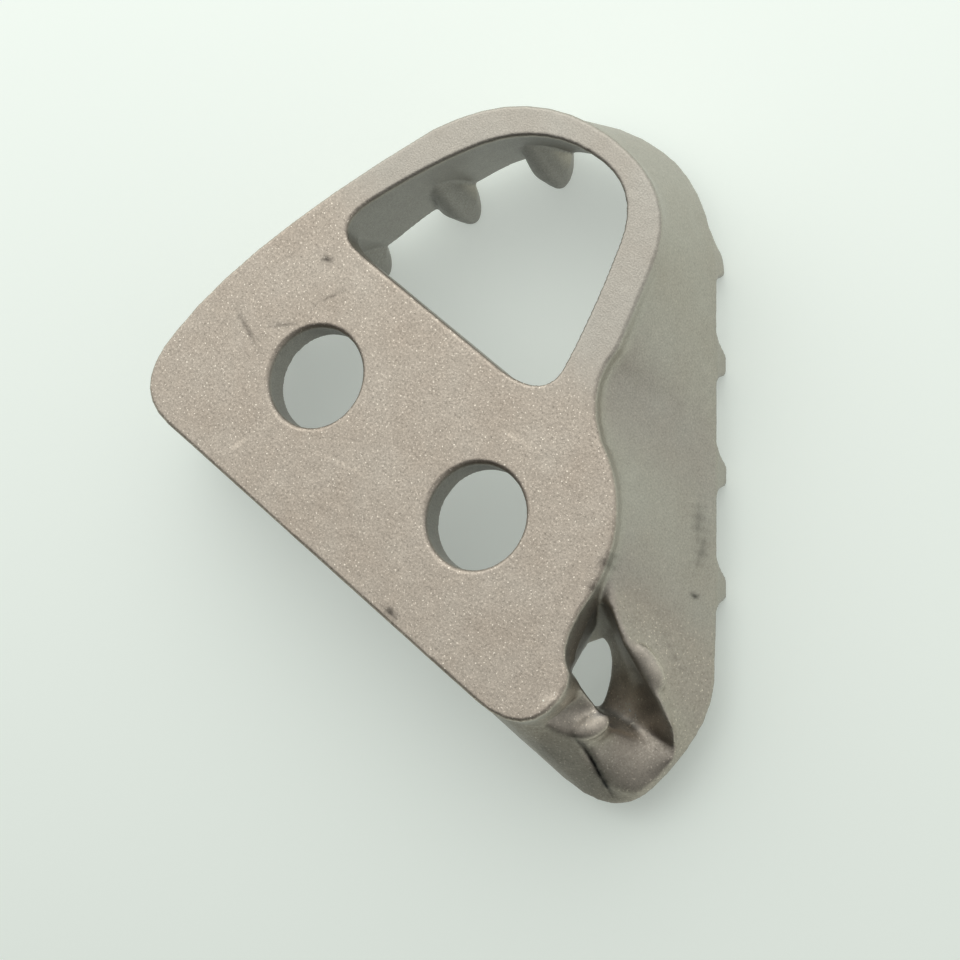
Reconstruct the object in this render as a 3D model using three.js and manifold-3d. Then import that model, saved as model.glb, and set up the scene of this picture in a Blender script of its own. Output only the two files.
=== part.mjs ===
import * as THREE from "three";
import { mergeVertices } from "three/addons/utils/BufferGeometryUtils.js";
import Module from "manifold-3d";

const wasm = await Module();
wasm.setup();

// Motorcycle pedal step, one casting, in millimetres.
// The mounting face is z = 0 and looks up +Z. The teeth point down.
// X runs along the line of the two bolt holes, Y from the bolt pad towards the open loop.
const HOLE_DIAMETER = 6.5;
const HOLE_SPACING = 14.6;
const HOLE_CHAMFER = 0.2;
const PLATE_THICKNESS = 2.2;
const EDGE_BREAK = 0.15;
const SKIRT_TOP = -1.1;
const RIM_BOTTOM = -8;
const TOOTH_HEIGHT = 2;
const TOOTH_LENGTH = 3.2;
const TOOTH_DEPTH = 3.5;
const TOOTH_ROOT = -3.2;
const PAD_NOSE_RADIUS = 9;

// Steps along each stretch of the outlines; every outline has the same stretches.
const STEPS = [9, 6, 3, 4, 9, 5, 4, 8, 8, 7, 7];

const v2 = (x, y) => new THREE.Vector2(x, y);
const line = (a, b) => new THREE.LineCurve(v2(...a), v2(...b));
const bend = (a, c, b) => new THREE.QuadraticBezierCurve(v2(...a), v2(...c), v2(...b));

// Points of a closed outline, without the point each stretch shares with the next.
function sample(curves, steps = STEPS) {
  return curves.flatMap((curve, i) => curve.getPoints(steps[i]).slice(0, -1));
}

// Arc of the pad nose round the right bolt hole, between two angles in degrees.
function noseArc(from, to) {
  const rad = THREE.MathUtils.degToRad;
  const x = HOLE_SPACING / 2;
  const r = PAD_NOSE_RADIUS;
  return new THREE.EllipseCurve(x, 0, r, r, rad(from), rad(to));
}

// Mounting face outline: bolt pad below, round-topped loop band above.
function plateOutline() {
  const nose = noseArc(8, 68);
  const a = nose.getPoint(0).toArray();
  const b = nose.getPoint(1).toArray();
  return sample([
    line([-13.8, -8.6], [14.6, -8.3]),
    bend([14.6, -8.3], [18.8, -8.3], [18.8, -4.9]),
    bend([18.8, -4.9], [18.7, -3.3], [17.6, -3.0]),
    bend([17.6, -3.0], [16.4, -2.2], a),
    nose,
    bend(b, [7.6, 10.2], [7.8, 13.3]),
    line([7.8, 13.3], [6.3, 18.2]),
    bend([6.3, 18.2], [4.9, 23.0], [-1.3, 23.05]),
    bend([-1.3, 23.05], [-8.1, 23.1], [-11.6, 16.8]),
    bend([-11.6, 16.8], [-17.5, 3.8], [-17.6, -3.7]),
    bend([-17.6, -3.7], [-17.9, -8.6], [-13.8, -8.6]),
  ]);
}

// Tread outline at the foot of the rim, leaning out from the plate on every side.
function treadOutline() {
  return sample([
    line([-14.6, -9.8], [20.0, -9.5]),
    bend([20.0, -9.5], [24.2, -9.4], [24.4, -6.0]),
    line([24.4, -6.0], [24.5, -4.0]),
    bend([24.5, -4.0], [24.6, -0.9], [23.2, 1.1]),
    line([23.2, 1.1], [16.2, 9.4]),
    line([16.2, 9.4], [12.6, 13.6]),
    line([12.6, 13.6], [8.2, 18.7]),
    bend([8.2, 18.7], [3.4, 24.8], [-1.6, 24.8]),
    bend([-1.6, 24.8], [-9, 24.8], [-12.8, 17.3]),
    bend([-12.8, 17.3], [-18.4, 3.9], [-18.9, -3.8]),
    bend([-18.9, -3.8], [-19.1, -9.8], [-14.6, -9.8]),
  ]);
}

// Closed solid through a stack of outlines, bottom first, each { points, z }.
// z is one height or one height for each point.
function stack(levels) {
  const count = levels[0].points.length;
  const heightAt = (level, i) => (Array.isArray(level.z) ? level.z[i] : level.z);
  const position = levels.flatMap((level) =>
    level.points.flatMap((p, i) => [p.x, p.y, heightAt(level, i)]),
  );
  const index = [];
  for (let k = 0; k + 1 < levels.length; k++) {
    for (let i = 0; i < count; i++) {
      const j = (i + 1) % count;
      const low = k * count;
      const high = low + count;
      index.push(low + i, low + j, high + j, low + i, high + j, high + i);
    }
  }
  const top = (levels.length - 1) * count;
  for (const [a, b, c] of THREE.ShapeUtils.triangulateShape(levels[0].points, [])) {
    index.push(a, c, b);
  }
  for (const [a, b, c] of THREE.ShapeUtils.triangulateShape(levels.at(-1).points, [])) {
    index.push(top + a, top + b, top + c);
  }
  const geometry = new THREE.BufferGeometry();
  geometry.setAttribute("position", new THREE.Float32BufferAttribute(position, 3));
  geometry.setIndex(index);
  return geometry;
}

// Outline moved inwards by d along its own normals.
function inset(points, d) {
  return points.map((p, i) => {
    const before = points.at(i - 1);
    const after = points[(i + 1) % points.length];
    const along = after.clone().sub(before).normalize();
    return v2(p.x - along.y * d, p.y + along.x * d);
  });
}

function toManifold(geometry) {
  const bare = geometry.clone();
  bare.deleteAttribute("normal");
  bare.deleteAttribute("uv");
  const merged = mergeVertices(bare, 1e-4);
  const mesh = new wasm.Mesh({
    numProp: 3,
    vertProperties: new Float32Array(merged.attributes.position.array),
    triVerts: new Uint32Array(merged.index.array),
  });
  return new wasm.Manifold(mesh);
}

function toGeometry(solid) {
  const mesh = solid.getMesh();
  const geometry = new THREE.BufferGeometry();
  geometry.setAttribute("position", new THREE.BufferAttribute(mesh.vertProperties, 3));
  geometry.setIndex(new THREE.BufferAttribute(mesh.triVerts, 1));
  const flat = geometry.toNonIndexed();
  flat.computeVertexNormals();
  return flat;
}

// Heights of the top of the skirt: level under the plate, dropping to the low toe corner.
const TOE_CREST = [
  [13.0, -8.25, SKIRT_TOP],
  [16.2, -7.9, -1.8],
  [19.4, -6.7, -3.2],
  [20.7, -6.8, -4.2],
  [21.6, -7.3, -5.2],
  [22.3, -7.8, -6.1],
  [23.1, -8.1, -7.0],
  [24.1, -7.0, -7.3],
  [24.4, -5.2, -7.0],
  [24.45, -3.9, -6.5],
  [24.3, -2.8, -5.6],
  [22.9, -1.8, -4.6],
  [21.2, -0.9, -3.5],
  [19.2, 0.1, -2.3],
  [17.3, 1.1, -1.4],
  [16.1, 2.3, SKIRT_TOP],
];

// Top ring of the skirt: the plate outline, with the toe corner swapped for its crest.
function skirtCrest() {
  const plate = plateOutline();
  const crest = new THREE.CatmullRomCurve3(
    TOE_CREST.map((p) => new THREE.Vector3(...p)),
    false,
    "centripetal",
  );
  const first = STEPS[0] - 1;
  const last = STEPS[0] + STEPS[1] + STEPS[2] + STEPS[3] + 1;
  const points = plate.slice();
  const z = plate.map(() => SKIRT_TOP);
  for (let i = first; i <= last; i++) {
    const p = crest.getPointAt((i - first) / (last - first));
    points[i] = v2(p.x, p.y);
    z[i] = p.z;
  }
  return { points, z };
}

// Level a share of the way up from one level to another.
function between(low, high, share) {
  const at = (level, i) => (Array.isArray(level.z) ? level.z[i] : level.z);
  return {
    points: low.points.map((p, i) => p.clone().lerp(high.points[i], share)),
    z: low.points.map((_, i) => THREE.MathUtils.lerp(at(low, i), at(high, i), share)),
  };
}

// Solid block inside the leaning outer faces of the rim.
function rimBlock() {
  const tread = treadOutline();
  const foot = { points: tread, z: RIM_BOTTOM + EDGE_BREAK };
  const crest = skirtCrest();
  return stack([
    { points: inset(tread, EDGE_BREAK), z: RIM_BOTTOM },
    foot,
    between(foot, crest, 0.25),
    between(foot, crest, 0.5),
    between(foot, crest, 0.75),
    crest,
  ]);
}

// Space the teeth may fill: inside the rim, and straight down from its outer edge.
function toothEnvelope() {
  const tread = treadOutline();
  const below = stack([
    { points: tread, z: RIM_BOTTOM - TOOTH_HEIGHT - 1 },
    { points: tread, z: RIM_BOTTOM + EDGE_BREAK },
  ]);
  return toManifold(rimBlock()).add(toManifold(below));
}

// Flat plate that carries the mounting face.
function plateSlab() {
  const outline = plateOutline();
  return stack([
    { points: outline, z: -PLATE_THICKNESS },
    { points: outline, z: -EDGE_BREAK },
    { points: inset(outline, EDGE_BREAK), z: 0 },
  ]);
}

// Space under the plate and inside the rim, open at the tread.
function hollow() {
  const steps = [6, 4, 8, 6, 6, 6, 6, 6, 4];
  const foot = sample(
    [
      line([-14.4, -7.3], [12.8, -7.3]),
      bend([12.8, -7.3], [14.3, -7.3], [14.3, -5.4]),
      bend([14.3, -5.4], [14.2, 0.4], [17.4, 0.7]),
      bend([17.4, 0.7], [20.6, 1.0], [18.6, 3.2]),
      line([18.6, 3.2], [6.6, 17.3]),
      bend([6.6, 17.3], [3.8, 22.8], [-1.4, 22.7]),
      bend([-1.4, 22.7], [-7.6, 22.5], [-10.6, 16.9]),
      bend([-10.6, 16.9], [-15.9, 3.5], [-16.5, -3.9]),
      bend([-16.5, -3.9], [-16.7, -7.3], [-14.4, -7.3]),
    ],
    steps,
  );
  const roof = sample(
    [
      line([-13.6, -6.2], [12.0, -6.2]),
      bend([12.0, -6.2], [13.2, -6.2], [13.2, -5.0]),
      bend([13.2, -5.0], [13.3, 0.2], [13.2, 1.0]),
      bend([13.2, 1.0], [13.0, 2.0], [12.4, 3.0]),
      bend([12.4, 3.0], [5.4, 9.4], [4.7, 16.2]),
      bend([4.7, 16.2], [3.3, 21.4], [-1.4, 21.3]),
      bend([-1.4, 21.3], [-6.0, 21.2], [-9.6, 15.4]),
      bend([-9.6, 15.4], [-14.6, 3.2], [-15.1, -3.7]),
      bend([-15.1, -3.7], [-15.2, -6.2], [-13.6, -6.2]),
    ],
    steps,
  );
  return stack([
    { points: foot, z: RIM_BOTTOM - TOOTH_HEIGHT - 1 },
    { points: foot, z: RIM_BOTTOM },
    { points: roof, z: -PLATE_THICKNESS },
  ]);
}

// Funnel pocket behind the toe corner, running down into the hollow as a small window.
function toePocket() {
  const lip = [
    [17.2, -3.6, -2.6],
    [18.2, -5.8, -3.4],
    [19.6, -5.5, -4.6],
    [20.7, -4.8, -5.2],
    [21.6, -4.3, -6.2],
    [22.8, -3.8, -6.7],
    [23.9, -3.3, -6.4],
    [24.0, -2.7, -5.6],
    [22.7, -2.0, -4.75],
    [20.9, -1.1, -3.6],
    [18.9, -0.2, -2.35],
    [17.3, 1.0, -1.4],
    [16.1, 1.3, -1.15],
  ];
  const foot = [
    [15.3, -4.2],
    [16.4, -4.8],
    [17.2, -5.0],
    [17.8, -5.0],
    [18.2, -4.9],
    [18.4, -4.6],
    [18.3, -4.1],
    [18.1, -3.6],
    [17.7, -2.8],
    [17.1, -2.0],
    [16.5, -1.5],
    [15.8, -1.3],
    [15.2, -2.2],
  ];
  const lipPoints = lip.map(([x, y]) => v2(x, y));
  const lipZ = lip.map((p) => p[2]);
  const footPoints = foot.map(([x, y]) => v2(x, y));
  const mid = footPoints.map((p, i) => p.clone().lerp(lipPoints[i], 0.42));
  const midZ = lipZ.map((z) => THREE.MathUtils.lerp(RIM_BOTTOM + 0.8, z, 0.22));
  return stack([
    { points: footPoints, z: RIM_BOTTOM - TOOTH_HEIGHT },
    { points: footPoints, z: RIM_BOTTOM + 0.4 },
    { points: mid, z: midZ },
    { points: lipPoints, z: lipZ },
    { points: lipPoints, z: 1 },
  ]);
}

// Relief under the corner of the plate, where the window runs out between it and the strap.
function cornerRelief() {
  const points = [
    v2(17.9, -3.3),
    v2(18.9, -3.4),
    v2(19.8, -3.4),
    v2(18.9, -2.3),
    v2(17.9, -2.1),
  ];
  return stack([
    { points: points.map((p) => v2(p.x - 1.1, p.y - 0.4)), z: -3.8 },
    { points, z: -0.6 },
  ]);
}

// Sloping upper face of the toe as sections across it: x, then [y, z] from the outside in.
const TOE_SECTIONS = [
  [20.5, [[-10, -4.0], [-6.75, -4.0], [-6.2, -4.0], [-5.4, -4.1], [-4.8, -4.7], [-3.8, -6.0]]],
  [21.4, [[-10, -5.0], [-7.2, -5.0], [-6.5, -4.9], [-5.5, -5.3], [-4.7, -5.9], [-3.8, -6.8]]],
  [22.3, [[-10, -6.1], [-7.8, -6.1], [-6.9, -5.8], [-5.7, -5.9], [-4.6, -6.4], [-3.6, -7.0]]],
  [23.2, [[-10, -7.1], [-8.1, -7.1], [-7.1, -6.6], [-5.7, -6.5], [-4.5, -6.7], [-3.4, -7.0]]],
  [24.0, [[-10, -7.6], [-8.0, -7.5], [-6.9, -7.1], [-5.5, -6.9], [-4.3, -6.7], [-3.2, -6.6]]],
  [24.8, [[-10, -8.1], [-7.8, -7.9], [-6.6, -7.5], [-5.2, -7.2], [-4.0, -6.8], [-3.0, -6.3]]],
];

// Space above the sloping upper face of the toe.
function toeScoop() {
  const across = 16;
  const spline = (points) => new THREE.CatmullRomCurve3(points, false, "centripetal");
  const sections = TOE_SECTIONS.map(([x, profile]) =>
    spline(profile.map(([y, z]) => new THREE.Vector3(x, y, z))).getPoints(across),
  );
  const rows = sections[0].map((_, j) => spline(sections.map((row) => row[j])).getPoints(12));
  const count = rows[0].length;
  const position = rows.flat().flatMap((p) => [p.x, p.y, p.z]);
  const lids = rows.flat().flatMap((p) => [p.x, p.y, 1]);
  const lid = rows.length * count;
  const index = [];
  for (let j = 0; j + 1 < rows.length; j++) {
    for (let i = 0; i + 1 < count; i++) {
      const a = j * count + i;
      const b = a + count;
      index.push(a, b, a + 1, a + 1, b, b + 1);
      index.push(lid + a, lid + a + 1, lid + b, lid + a + 1, lid + b + 1, lid + b);
    }
  }
  const corner = [0, count - 1, rows.length * count - 1, (rows.length - 1) * count];
  const along = (from, to, step) => {
    for (let a = from; a !== to; a += step) {
      index.push(a, a + step, lid + a, a + step, lid + a + step, lid + a);
    }
  };
  along(corner[0], corner[1], 1);
  along(corner[1], corner[2], count);
  along(corner[2], corner[3], -1);
  along(corner[3], corner[0], -count);
  const geometry = new THREE.BufferGeometry();
  geometry.setAttribute("position", new THREE.Float32BufferAttribute([...position, ...lids], 3));
  geometry.setIndex(index);
  return geometry;
}

// Strap from the pad corner down to the toe, standing a little above the toe's face.
function toeStrap() {
  const top = [
    [17.0, -7.4, -1.7],
    [19.6, -6.6, -3.2],
    [20.4, -6.5, -3.75],
    [20.9, -5.9, -4.0],
    [21.0, -5.1, -4.2],
    [20.7, -4.5, -4.1],
    [19.8, -4.2, -3.4],
    [18.5, -3.65, -1.9],
    [17.7, -3.4, -1.0],
  ];
  const points = top.map(([x, y]) => v2(x, y));
  const undercut = points.map((p, i) => v2(p.x, i > 4 ? p.y - 1.4 : p.y));
  return stack([
    { points: undercut, z: RIM_BOTTOM + 0.4 },
    { points, z: top.map((p) => p[2]) },
  ]);
}

// Ellipsoid with its long axis along a direction.
function ellipsoid(centre, radii, direction) {
  const along = new THREE.Vector3(...direction).normalize();
  const turn = new THREE.Quaternion().setFromUnitVectors(new THREE.Vector3(1, 0, 0), along);
  return new THREE.SphereGeometry(1, 20, 12)
    .scale(...radii)
    .applyQuaternion(turn)
    .translate(...centre);
}

// Rounded swelling at the foot of the strap.
const strapBoss = () => ellipsoid([20.15, -5.35, -3.5], [1.35, 0.8, 0.5], [0.45, 0.9, -0.1]);

// Low rounded swelling on the wall beside the pocket.
const pocketBoss = () => ellipsoid([20.7, -0.35, -3.55], [1.7, 0.75, 0.45], [3.8, -1.6, -2.4]);

// Fine groove along the left edge of the strap.
const strapGroove = () => ellipsoid([21.2, -7.15, -4.8], [2.0, 0.22, 0.5], [2.6, -1.75, -3.0]);

// Loop opening through the plate, widening down to the inner edge of the tread.
function loopOpening() {
  const steps = [8, 7, 6, 7, 8, 6, 7];
  const edge = sample(
    [
      line([-10.2, 7.8], [2.6, 7.8]),
      bend([2.6, 7.8], [5.9, 8.0], [5.8, 10.0]),
      bend([5.8, 10.0], [5.1, 13.7], [3.6, 18.1]),
      bend([3.6, 18.1], [2.5, 21.4], [-0.7, 21.5]),
      bend([-0.7, 21.5], [-5.3, 21.6], [-8.1, 17.9]),
      bend([-8.1, 17.9], [-10.2, 14.9], [-12.0, 10.6]),
      bend([-12.0, 10.6], [-13.1, 7.8], [-10.2, 7.8]),
    ],
    steps,
  );
  const foot = sample(
    [
      line([-11.0, 7.8], [7.6, 7.8]),
      bend([7.6, 7.8], [10.8, 7.9], [10.4, 10.4]),
      bend([10.4, 10.4], [8.4, 14.6], [6.1, 18.6]),
      bend([6.1, 18.6], [3.6, 23.0], [-1.3, 23.0]),
      bend([-1.3, 23.0], [-7.0, 22.7], [-9.9, 18.3]),
      bend([-9.9, 18.3], [-11.8, 14.9], [-13.0, 10.6]),
      bend([-13.0, 10.6], [-13.9, 7.8], [-11.0, 7.8]),
    ],
    steps,
  );
  return stack([
    { points: foot, z: RIM_BOTTOM - TOOTH_HEIGHT - 1 },
    { points: foot, z: RIM_BOTTOM },
    { points: edge, z: -EDGE_BREAK },
    { points: inset(edge, -EDGE_BREAK), z: 0 },
    { points: inset(edge, -EDGE_BREAK), z: 1 },
  ]);
}

// Tooth: an upright rib on the rim wall that ends in a rounded nub below the rim.
// Its inner side is round; its outer side runs out to the face of the rim.
function tooth([x, y], heading) {
  const sides = 12;
  const tip = RIM_BOTTOM - TOOTH_HEIGHT;
  const shape = [
    [tip, 0.3, 0.85, 1],
    [tip + 0.1, 0.48, 0.95, 1],
    [tip + 0.4, 0.64, 1.02, 1],
    [tip + 1.0, 0.77, 1.05, 1.05],
    [tip + 1.6, 0.86, 1.05, 1.2],
    [RIM_BOTTOM + 0.1, 0.96, 1.05, 1.45],
    [RIM_BOTTOM + 1.2, 0.85, 0.95, 1],
    [TOOTH_ROOT, 0.5, 0.4, 1],
  ];
  const turn = THREE.MathUtils.degToRad(heading);
  const section = (long, deep, flare) => {
    const inner = Array.from({ length: sides + 1 }, (_, i) => {
      const a = Math.PI * (1 + i / sides);
      return v2((TOOTH_LENGTH / 2) * long * Math.cos(a), (TOOTH_DEPTH / 2) * deep * Math.sin(a));
    });
    const outer = [0.14, 0.28, 0.5, 0.72, 0.86].map((t) => {
      const a = Math.PI * t;
      return v2((TOOTH_LENGTH / 2) * long * flare * Math.cos(a), 2.6 * Math.sin(a));
    });
    return [...inner, ...outer].map((p) => p.rotateAround(v2(0, 0), turn).add(v2(x, y)));
  };
  return stack(shape.map(([z, ...size]) => ({ points: section(...size), z })));
}

// Teeth as [centre], heading of the rim beside them in degrees.
const TEETH = [
  [[4.5, 20.4], -50],
  [[8.7, 15.4], -49],
  [[13.3, 10.0], -49],
  [[18.0, 4.6], -49],
  [[-11.85, 14.5], 66],
  [[-8.0, 20.3], 43],
  [[-14.7, 7.85], 70],
  [[-17.1, 0.2], 78],
  [[-12.6, -8.2], 180],
  [[-5.6, -8.2], 180],
  [[1.4, -8.2], 180],
  [[8.4, -8.2], 180],
  [[15.4, -8.2], 180],
];

function boltHole(x) {
  const r = HOLE_DIAMETER / 2;
  const profile = [
    [0, -PLATE_THICKNESS - 1],
    [r, -PLATE_THICKNESS - 1],
    [r, -HOLE_CHAMFER],
    [r + HOLE_CHAMFER, 0],
    [r + HOLE_CHAMFER, 1],
    [0, 1],
  ];
  const lathe = new THREE.LatheGeometry(profile.map(([u, w]) => v2(u, w)), 48);
  return lathe.rotateX(Math.PI / 2).translate(x, 0, 0);
}

function casting() {
  let solid = toManifold(rimBlock());
  solid = solid.subtract(toManifold(hollow()));
  solid = solid.subtract(toManifold(toePocket()));
  solid = solid.subtract(toManifold(toeScoop()));
  solid = solid.add(toManifold(plateSlab()));
  solid = solid.subtract(toManifold(cornerRelief()));
  solid = solid.add(toManifold(toeStrap()));
  solid = solid.add(toManifold(strapBoss()));
  solid = solid.add(toManifold(pocketBoss()));
  solid = solid.subtract(toManifold(strapGroove()));
  solid = solid.subtract(toManifold(loopOpening()));
  const envelope = toothEnvelope();
  for (const [centre, heading] of TEETH) {
    solid = solid.add(toManifold(tooth(centre, heading)).intersect(envelope));
  }
  for (const side of [-1, 1]) {
    solid = solid.subtract(toManifold(boltHole((side * HOLE_SPACING) / 2)));
  }
  return toGeometry(solid);
}

const castSteel = new THREE.MeshStandardMaterial({
  color: 0xb5ab9e,
  roughness: 0.62,
  metalness: 0.75,
});

const part = new THREE.Group();
const body = new THREE.Mesh(casting(), castSteel);
body.name = "pedal_step_casting";
part.add(body);

export default part;
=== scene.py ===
import math

import bpy
import numpy as np
from mathutils import Matrix, Vector


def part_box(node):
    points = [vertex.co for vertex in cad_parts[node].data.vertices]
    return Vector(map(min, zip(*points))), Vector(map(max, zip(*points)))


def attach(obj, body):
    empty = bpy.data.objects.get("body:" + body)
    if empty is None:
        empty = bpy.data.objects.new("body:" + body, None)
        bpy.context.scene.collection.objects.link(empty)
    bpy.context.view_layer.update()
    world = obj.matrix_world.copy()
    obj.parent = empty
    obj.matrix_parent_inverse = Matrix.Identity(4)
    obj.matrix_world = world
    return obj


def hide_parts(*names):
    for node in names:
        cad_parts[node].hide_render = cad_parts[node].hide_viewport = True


NODE = "pedal_step_casting"
MM = 0.001

# Camera: place in millimetres, and the directions that point to its right and behind it.
LENS_MM = 84.375
SENSOR_MM = 36
CAMERA_PLACE = (61.93, 14.11, 123.29)
CAMERA_RIGHT = (0.6912, 0.6180, -0.3745)
CAMERA_BACK = (0.4109, 0.0901, 0.9072)

# Surface of the casting: fine enough for the small edges, then rounded in places.
VOXEL_MM = 0.13
SMOOTH_STEPS = 2
WALL_SMOOTH_STEPS = 50
TOE_SMOOTH_STEPS = 24
RIDGE_SMOOTH_STEPS = 90
RIDGE_CENTRE = (22.4, -4.0, -6.3)
SKIN_WAVE_MM = 0.7
SKIN_DEPTH_MM = 0.02

# Hollows that get painted shade, a darker and greyer tone: round the holes and towards the
# middle.
HOLE_CENTRES = [(-7.3, 0.0), (7.3, 0.0)]
HOLE_HOLLOW_REACH_MM = (3.35, 3.6)
BODY_CENTRE = (2.0, 5.0)

# Skin: the toe's share of the pad's coarse grain, the noises' cells per metre, and the bump.
TOE_COARSE = 0.55
GRAIN = 6000
FINE_GRAIN = 9000
GLINT = 7500
PATCH = 1300
BLOTCH = 260
BUMP_STRENGTH = 0.35
BUMP_HEIGHT_M = 0.00006

# Floor and light.
FLOOR_HALF_SIDE_M = 10
FLOOR_GLOW = (0.2, 0.46)
FLOOR_GLOW_REACH_M = 0.04
FLOOR_BRIGHT_SIDE = (-0.6, 0.8, 0.0)
AMBIENT = 0.02
LOBE_POWER = 2
SOFT_LIGHTS = [(152, 35, 1.75), (35, 28, 0.7)]  # azimuth, elevation, strength

# Handling marks, and the dark line of painted shade in the toe's crease, in millimetres: centre,
# half length, half width, heading, darkening.
MARKS_AND_CREASE_SHADE = [
    ((-11.8, 6.2, 0.0), 0.3, 0.2, 20, 0.8),
    ((6.9, -7.8, -0.1), 0.45, 0.2, 0, 0.8),
    ((19.2, 4.4, -6.0), 0.13, 0.2, 90, 0.8),
    ((-13.4, -0.5, 0.0), 1.3, 0.16, -18, 0.45),
    ((-11.4, 1.2, 0.0), 1.0, 0.14, 40, 0.4),
    ((-9.9, 4.6, 0.0), 0.8, 0.14, 60, 0.3),
    ((16.3, 8.1, -5.9), 1.0, 0.25, -50, 0.4),
    ((17.6, 6.8, -6.2), 0.9, 0.2, -60, 0.35),
    ((21.3, 0.8, -4.0), 1.3, 0.2, -30, 0.35),
    ((-8.7, -6.6, 0.0), 0.7, 0.14, 70, -0.35),
    ((6.4, 5.2, 0.0), 0.9, 0.16, 10, -0.3),
    ((-2.0, -3.0, 0.0), 1.6, 0.12, 15, -0.2),
    ((18.4, -5.0, 0.0), 0.7, 0.25, 60, -0.4),
    ((15.6, 3.0, -0.2), 0.5, 0.3, 100, 0.5),
    ((16.0, 1.5, -0.3), 0.4, 0.25, 100, 0.5),
    # Painted shade: the dark line in the crease between the toe's outer face and its sloping
    # top.
    ((20.4, -6.7, -3.9), 0.8, 0.17, -32, 0.6),
    ((21.3, -7.2, -4.9), 0.8, 0.15, -32, 0.6),
    ((22.3, -7.8, -6.1), 0.8, 0.17, -32, 0.5),
]

MARK_HALF_HEIGHT_MM = 1.2

# Broad soft patches of painted shade, and of painted light below zero, on and round the toe, in
# millimetres: centre, radius, darkening.
TOE_SHADE_AND_LIGHT = [
    ((19.6, -2.4, -6.0), 1.6, -0.3),
    ((18.8, -8.2, -4.8), 1.6, 0.25),
    ((21.5, -8.6, -6.6), 1.8, 0.2),
    ((21.8, -6.2, -5.6), 1.5, 0.2),
    ((20.2, -3.4, -6.8), 1.3, -0.9),
    ((20.9, -0.2, -3.5), 0.9, -0.3),
    ((20.2, -5.3, -3.1), 0.8, -0.3),
    ((22.0, -4.2, -6.2), 1.0, 0.2),
    ((23.5, -4.4, -6.7), 0.9, 0.2),
]


def srgb(r, g, b):
    """Scene-linear colour of an 8-bit sRGB one."""

    def lin(v):
        v /= 255
        return v / 12.92 if v <= 0.04045 else ((v + 0.055) / 1.055) ** 2.4

    return (lin(r), lin(g), lin(b), 1.0)


def make_camera():
    data = bpy.data.cameras.new("camera")
    data.lens = LENS_MM
    data.sensor_width = SENSOR_MM
    data.clip_start = 0.01
    data.clip_end = 20
    camera = bpy.data.objects.new("camera", data)
    bpy.context.scene.collection.objects.link(camera)
    back = Vector(CAMERA_BACK).normalized()
    up = back.cross(Vector(CAMERA_RIGHT)).normalized()
    right = up.cross(back)
    turn = Matrix((right, up, back)).transposed().to_4x4()
    camera.matrix_world = Matrix.Translation(Vector(CAMERA_PLACE) * MM) @ turn
    bpy.context.scene.camera = camera


def apply_modifiers(obj):
    graph = bpy.context.evaluated_depsgraph_get()
    mesh = bpy.data.meshes.new_from_object(obj.evaluated_get(graph))
    obj.modifiers.clear()
    obj.data = mesh


def read_vectors(items, name):
    values = np.empty(len(items) * 3, dtype=np.float32)
    items.foreach_get(name, values)
    return values.reshape(-1, 3)


def rise(values, low, high):
    """0 below low, 1 above high, smooth between."""
    t = np.clip((values - low) / (high - low), 0, 1)
    return t * t * (3 - 2 * t)


def toe_share(place):
    """1 on the sculpted toe below the pad corner, 0 away from it."""
    share = rise(place[:, 0], 15.6, 17.2) * rise(-place[:, 2], 0.5, 1.1)
    return share * (1 - rise(place[:, 1], 1.5, 4.0))


def fillet(body, name, weight, steps):
    """Rounds the edges of the body where the weight is above zero."""
    group = body.vertex_groups.new(name=name)
    for index in np.flatnonzero(weight > 0.01):
        group.add([int(index)], float(weight[index]), "REPLACE")
    smooth = body.modifiers.new(name, "SMOOTH")
    smooth.factor = 0.5
    smooth.iterations = steps
    smooth.vertex_group = name


def smooth_walls_and_toe(body):
    """Evens out the walls and rounds the toe, most of all the ridge between scoop and pocket."""
    place = read_vectors(body.data.vertices, "co")
    normal = read_vectors(body.data.vertex_normals, "vector")
    level = rise(-place[:, 2], 0.7, 1.4) * (1 - rise(-place[:, 2], 6.4, 7.2))
    outside = 1 - rise(hollow_or_under(place, normal), 0.0, 0.3)
    fillet(body, "walls", level * outside * (1 - toe_share(place)), WALL_SMOOTH_STEPS)
    fillet(body, "toe", toe_share(place), TOE_SMOOTH_STEPS)
    reach = np.linalg.norm(place - np.array(RIDGE_CENTRE), axis=1)
    fillet(body, "ridge", 1 - rise(reach, 0.9, 2.1), RIDGE_SMOOTH_STEPS)


def cast_body(node):
    """The casting with the small fillets and the slightly uneven skin of a cast surface."""
    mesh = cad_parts[node].data.copy()
    mesh.transform(Matrix.Scale(1 / MM, 4))
    body = bpy.data.objects.new("casting_surface", mesh)
    bpy.context.scene.collection.objects.link(body)
    weld = body.modifiers.new("weld", "WELD")
    weld.merge_threshold = 0.001
    remesh = body.modifiers.new("remesh", "REMESH")
    remesh.mode = "VOXEL"
    remesh.voxel_size = VOXEL_MM
    apply_modifiers(body)
    smooth_walls_and_toe(body)
    smooth = body.modifiers.new("smooth", "SMOOTH")
    smooth.factor = 0.5
    smooth.iterations = SMOOTH_STEPS
    skin = bpy.data.textures.new("skin", "CLOUDS")
    skin.noise_scale = SKIN_WAVE_MM
    skin.noise_depth = 2
    uneven = body.modifiers.new("uneven", "DISPLACE")
    uneven.texture = skin
    uneven.texture_coords = "LOCAL"
    uneven.mid_level = 0.5
    uneven.strength = SKIN_DEPTH_MM
    apply_modifiers(body)
    paint(body.data)
    body.data.transform(Matrix.Scale(MM, 4))
    body.data.polygons.foreach_set("use_smooth", [True] * len(body.data.polygons))
    return body


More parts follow.
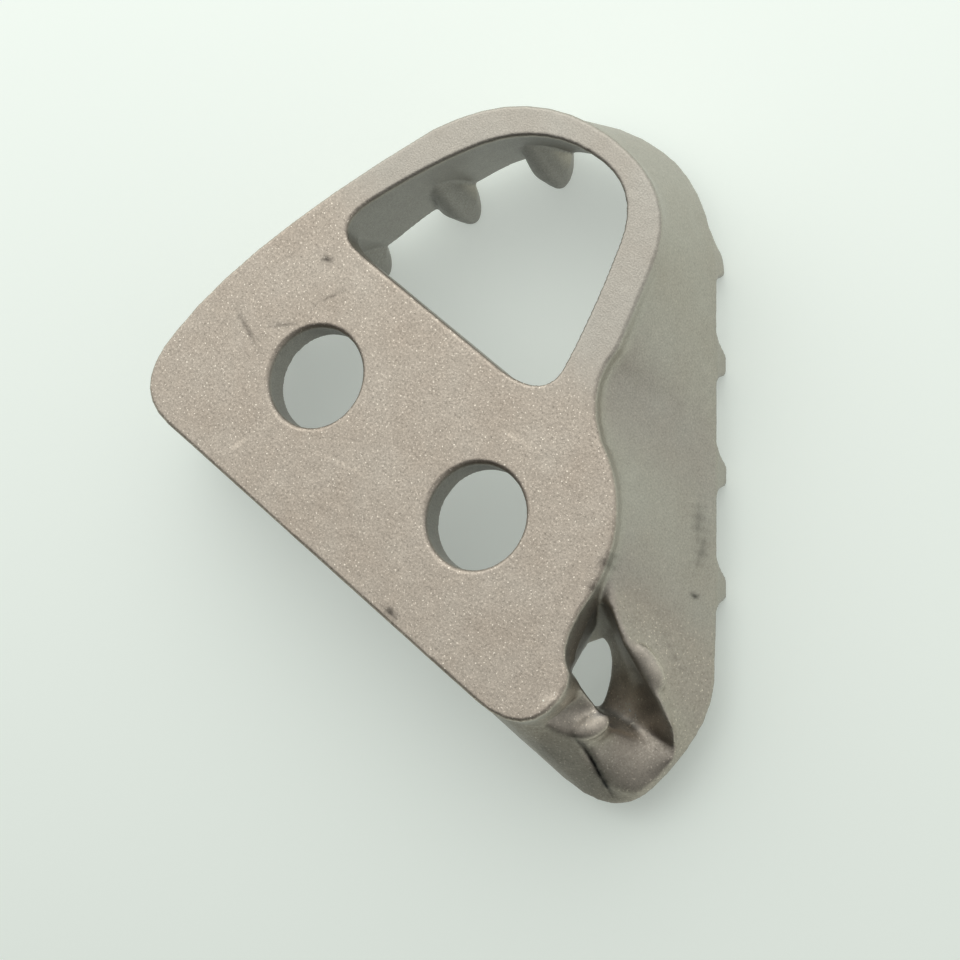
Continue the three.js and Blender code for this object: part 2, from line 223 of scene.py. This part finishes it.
def hollow_or_under(place, normal):
    """1 on walls that face the middle of the body or a hole, and on faces that look down, 0 on
    the outside.
    """
    outward = place[:, :2] - np.array(BODY_CENTRE)
    outward /= np.linalg.norm(outward, axis=1, keepdims=True) + 1e-6
    inner = rise(-(outward * normal[:, :2]).sum(axis=1), 0.05, 0.5)
    for centre in HOLE_CENTRES:
        reach = np.linalg.norm(place[:, :2] - np.array(centre), axis=1)
        inner = np.maximum(inner, 1 - rise(reach, *HOLE_HOLLOW_REACH_MM))
    under = rise(-normal[:, 2], 0.0, 0.3)
    return np.maximum(inner * rise(-place[:, 2], 0.1, 0.5), under)


def marks_and_crease_shade(place):
    """Darkening, or lightening below zero, of the small marks left by handling and of the
    painted shade in the toe's crease.
    """
    total = np.zeros(len(place))
    for centre, length, width, heading, depth in MARKS_AND_CREASE_SHADE:
        offset = place - np.array(centre)
        turn = math.radians(heading)
        along = offset[:, 0] * math.cos(turn) + offset[:, 1] * math.sin(turn)
        across = offset[:, 1] * math.cos(turn) - offset[:, 0] * math.sin(turn)
        ragged = 1 + 0.35 * np.sin(along * 9 + heading) + 0.25 * np.sin(across * 23)
        reach = (along / length) ** 2 + (across / width) ** 2
        reach += (offset[:, 2] / MARK_HALF_HEIGHT_MM) ** 2
        total += depth * np.exp(-reach * ragged)
    return total


def painted_shade_and_light(place, normal):
    """Painted shade on the walls, most of all on those that face -Y, away from the main light,
    and the patches of painted shade and light on the toe.
    """
    # Painted shade: walls that face -Y, away from the main light, and all walls a little.
    total = 0.3 * rise(-normal[:, 1], 0.3, 0.9) * rise(-place[:, 2], 0.2, 0.8)
    total += 0.06 * (1 - rise(normal[:, 2], 0.7, 0.95))
    # Patches of painted shade, and of painted light where the darkening is below zero, on the
    # toe.
    for centre, radius, depth in TOE_SHADE_AND_LIGHT:
        reach = np.linalg.norm(place - np.array(centre), axis=1) / radius
        total += depth * np.exp(-reach**2)
    return total


def paint(mesh):
    """Writes what the material reads at each vertex: the hollows for painted shade, the marks
    with painted shade and light, and coarse.
    """
    place = read_vectors(mesh.vertices, "co")
    normal = read_vectors(mesh.vertex_normals, "vector")
    pad = rise(place[:, 2], -0.25, -0.08) * (1 - rise(place[:, 1], 7.5, 13.5))
    coarse = np.maximum(pad, TOE_COARSE * toe_share(place))
    for name, values in (
        # Mask of the painted shade in the hollows, round the holes and under the pad.
        ("hollow_shade", hollow_or_under(place, normal)),
        # Handling marks together with painted shade and painted light.
        ("marks_and_shade", marks_and_crease_shade(place) + painted_shade_and_light(place, normal)),
        ("coarse", coarse),
    ):
        layer = mesh.attributes.new(name, "FLOAT", "POINT")
        layer.data.foreach_set("value", values.astype(np.float32))


class Nodes:
    """Short calls for building the node tree of a material or of the world."""

    def __init__(self, owner):
        owner.use_nodes = True
        self.tree = owner.node_tree
        self.tree.nodes.clear()

    def add(self, kind, inputs=None, **settings):
        node = self.tree.nodes.new(kind)
        for key, value in settings.items():
            setattr(node, key, value)
        for key, value in (inputs or {}).items():
            if isinstance(value, bpy.types.NodeSocket):
                self.tree.links.new(value, node.inputs[key])
            else:
                node.inputs[key].default_value = value
        return node

    def attribute(self, name):
        return self.add("ShaderNodeAttribute", attribute_name=name).outputs["Fac"]

    def noise(self, at, scale, detail, roughness):
        made = self.add(
            "ShaderNodeTexNoise",
            {"Vector": at, "Scale": scale, "Detail": detail, "Roughness": roughness},
        )
        return made.outputs["Fac"]

    def ramp(self, fac, *stops):
        made = self.add("ShaderNodeValToRGB", {"Fac": fac})
        elements = made.color_ramp.elements
        while len(elements) < len(stops):
            elements.new(0.5)
        for element, (place, colour) in zip(elements, stops):
            element.position = place
            element.color = colour
        return made.outputs["Color"]

    def mix(self, blend, fac, a, b):
        """Colour mix; a Mix node keeps its colours in inputs 6 and 7 and in output 2."""
        made = self.add(
            "ShaderNodeMix",
            {0: fac, 6: a, 7: b},
            data_type="RGBA",
            blend_type=blend,
        )
        return made.outputs[2]


def grey(level):
    return (level, level, level, 1.0)


def cast_metal():
    """Blasted raw casting: warm and coarse on the pad, finer and greyer on the walls, with
    painted shade in the hollows and painted glints.
    """
    material = bpy.data.materials.new("cast_metal")
    n = Nodes(material)
    at = n.add("ShaderNodeTexCoord").outputs["Object"]
    coarse = n.attribute("coarse")
    hollow_shade = n.attribute("hollow_shade")
    marks_and_shade = n.attribute("marks_and_shade")

    grain = n.noise(at, GRAIN, 3.0, 0.75)
    fine = n.noise(at, FINE_GRAIN, 2.0, 0.6)
    patch = n.noise(at, PATCH, 3.0, 0.6)
    blotch = n.noise(at, BLOTCH, 3.0, 0.5)
    glint = n.noise(at, GLINT, 0.0, 0.5)

    outside = n.ramp(blotch, (0.3, srgb(183, 176, 165)), (0.7, srgb(187, 182, 172)))
    blasted = n.ramp(blotch, (0.3, srgb(185, 173, 159)), (0.7, srgb(193, 183, 170)))
    # Painted shade: a darker, greyer tone in the hollows, round the holes and under the pad.
    hollow_shade_tone = n.ramp(blotch, (0.3, srgb(163, 159, 153)), (0.7, srgb(169, 166, 160)))
    tone = n.mix("MIX", coarse, outside, blasted)
    tone = n.mix("MIX", hollow_shade, tone, hollow_shade_tone)

    coarse_speck = n.ramp(
        grain, (0.28, grey(0.55)), (0.42, grey(0.92)), (0.58, grey(1.04)), (0.72, grey(1.5))
    )
    fine_speck = n.ramp(fine, (0.3, grey(0.86)), (0.7, grey(1.12)))
    speck = n.mix("MIX", coarse, fine_speck, coarse_speck)
    patches = n.ramp(patch, (0.3, grey(0.93)), (0.7, grey(1.06)))
    patches = n.mix("MIX", coarse, n.ramp(patch, (0.3, grey(0.97)), (0.7, grey(1.03))), patches)
    skin = n.mix("MULTIPLY", 1.0, n.mix("MULTIPLY", 1.0, tone, speck), patches)

    # Painted glints: sparse bright specks mixed into the colour, fainter off the pad.
    painted_glint = n.ramp(glint, (0.72, grey(0.0)), (0.8, grey(1.0)))
    painted_glint = n.mix("MULTIPLY", 1.0, painted_glint, n.mix("MIX", coarse, grey(0.15), grey(1.0)))
    skin = n.mix("MIX", painted_glint, skin, srgb(250, 240, 224))
    # Marks, painted shade and painted light darken or lighten the colour.
    marks_and_shade_factor = n.add("ShaderNodeMath", {0: 1.0, 1: marks_and_shade}, operation="SUBTRACT")
    colour = n.mix("MULTIPLY", 1.0, skin, marks_and_shade_factor.outputs[0])

    rough = n.add(
        "ShaderNodeMapRange",
        {"Value": grain, "From Min": 0.3, "From Max": 0.7, "To Min": 0.54, "To Max": 0.4},
    )
    height = n.mix("MIX", coarse, fine, grain)
    bump = n.add(
        "ShaderNodeBump",
        {"Height": height, "Strength": BUMP_STRENGTH, "Distance": BUMP_HEIGHT_M},
    )
    shader = n.add(
        "ShaderNodeBsdfPrincipled",
        {
            "Base Color": colour,
            "Metallic": 1.0,
            "Roughness": rough.outputs["Result"],
            "Normal": bump.outputs["Normal"],
        },
    )
    n.add("ShaderNodeOutputMaterial", {"Surface": shader.outputs["BSDF"]})
    return material


def floor_material():
    """White card that glows, painted light that is a little brighter towards the main light and
    lifts the shadows on it.
    """
    material = bpy.data.materials.new("pale_floor")
    n = Nodes(material)
    at = n.add("ShaderNodeTexCoord").outputs["Object"]
    side = n.add("ShaderNodeVectorMath", {0: at, 1: FLOOR_BRIGHT_SIDE}, operation="DOT_PRODUCT")
    glow = n.add(
        "ShaderNodeMapRange",
        {
            "Value": side.outputs["Value"],
            "From Min": -FLOOR_GLOW_REACH_M,
            "From Max": FLOOR_GLOW_REACH_M,
            "To Min": FLOOR_GLOW[0],
            "To Max": FLOOR_GLOW[1],
        },
    )
    shader = n.add(
        "ShaderNodeBsdfPrincipled",
        {
            "Base Color": srgb(214, 221, 214),
            "Roughness": 0.8,
            "Specular IOR Level": 0.2,
            # Painted light: the floor glows, more towards the main light.
            "Emission Color": srgb(240, 247, 240),
            "Emission Strength": glow.outputs["Result"],
        },
    )
    n.add("ShaderNodeOutputMaterial", {"Surface": shader.outputs["BSDF"]})
    return material


def make_floor(height):
    mesh = bpy.data.meshes.new("floor")
    r = FLOOR_HALF_SIDE_M
    corners = [(-r, -r, height), (r, -r, height), (r, r, height), (-r, r, height)]
    mesh.from_pydata(corners, [], [(0, 1, 2, 3)])
    floor = bpy.data.objects.new("floor", mesh)
    bpy.context.scene.collection.objects.link(floor)
    mesh.materials.append(floor_material())


def towards(azimuth, elevation):
    """Unit vector; azimuth in degrees from +X, elevation in degrees above the floor."""
    a = math.radians(azimuth)
    e = math.radians(elevation)
    return Vector((math.cos(a) * math.cos(e), math.sin(a) * math.cos(e), math.sin(e)))


def make_light():
    """An overcast-bright studio: two broad soft lights as lobes of the world."""
    world = bpy.data.worlds.new("world")
    n = Nodes(world)
    direction = n.add("ShaderNodeTexCoord").outputs["Generated"]
    total = AMBIENT
    for azimuth, elevation, strength in SOFT_LIGHTS:
        centre = towards(azimuth, elevation)
        dot = n.add("ShaderNodeVectorMath", {0: direction, 1: centre}, operation="DOT_PRODUCT")
        facing = n.add("ShaderNodeMath", {0: dot.outputs["Value"], 1: 0.0}, operation="MAXIMUM")
        lobe = n.add("ShaderNodeMath", {0: facing.outputs[0], 1: LOBE_POWER}, operation="POWER")
        summed = n.add(
            "ShaderNodeMath",
            {0: lobe.outputs[0], 1: strength, 2: total},
            operation="MULTIPLY_ADD",
        )
        total = summed.outputs[0]
    back = n.add("ShaderNodeBackground", {"Color": (0.985, 1.0, 0.985, 1.0), "Strength": total})
    n.add("ShaderNodeOutputWorld", {"Surface": back.outputs["Background"]})
    bpy.context.scene.world = world
    bpy.context.scene.view_settings.view_transform = "Standard"


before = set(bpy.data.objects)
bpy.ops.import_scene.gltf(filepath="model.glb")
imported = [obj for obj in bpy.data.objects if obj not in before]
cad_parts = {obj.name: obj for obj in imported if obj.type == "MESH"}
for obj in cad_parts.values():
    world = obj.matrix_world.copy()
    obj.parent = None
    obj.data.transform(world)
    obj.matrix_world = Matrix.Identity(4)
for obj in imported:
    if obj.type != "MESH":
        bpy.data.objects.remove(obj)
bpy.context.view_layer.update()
make_camera()
make_floor(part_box(NODE)[0].z)
make_light()
body = cast_body(NODE)
body.data.materials.clear()
body.data.materials.append(cast_metal())
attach(body, "root")
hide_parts(NODE)
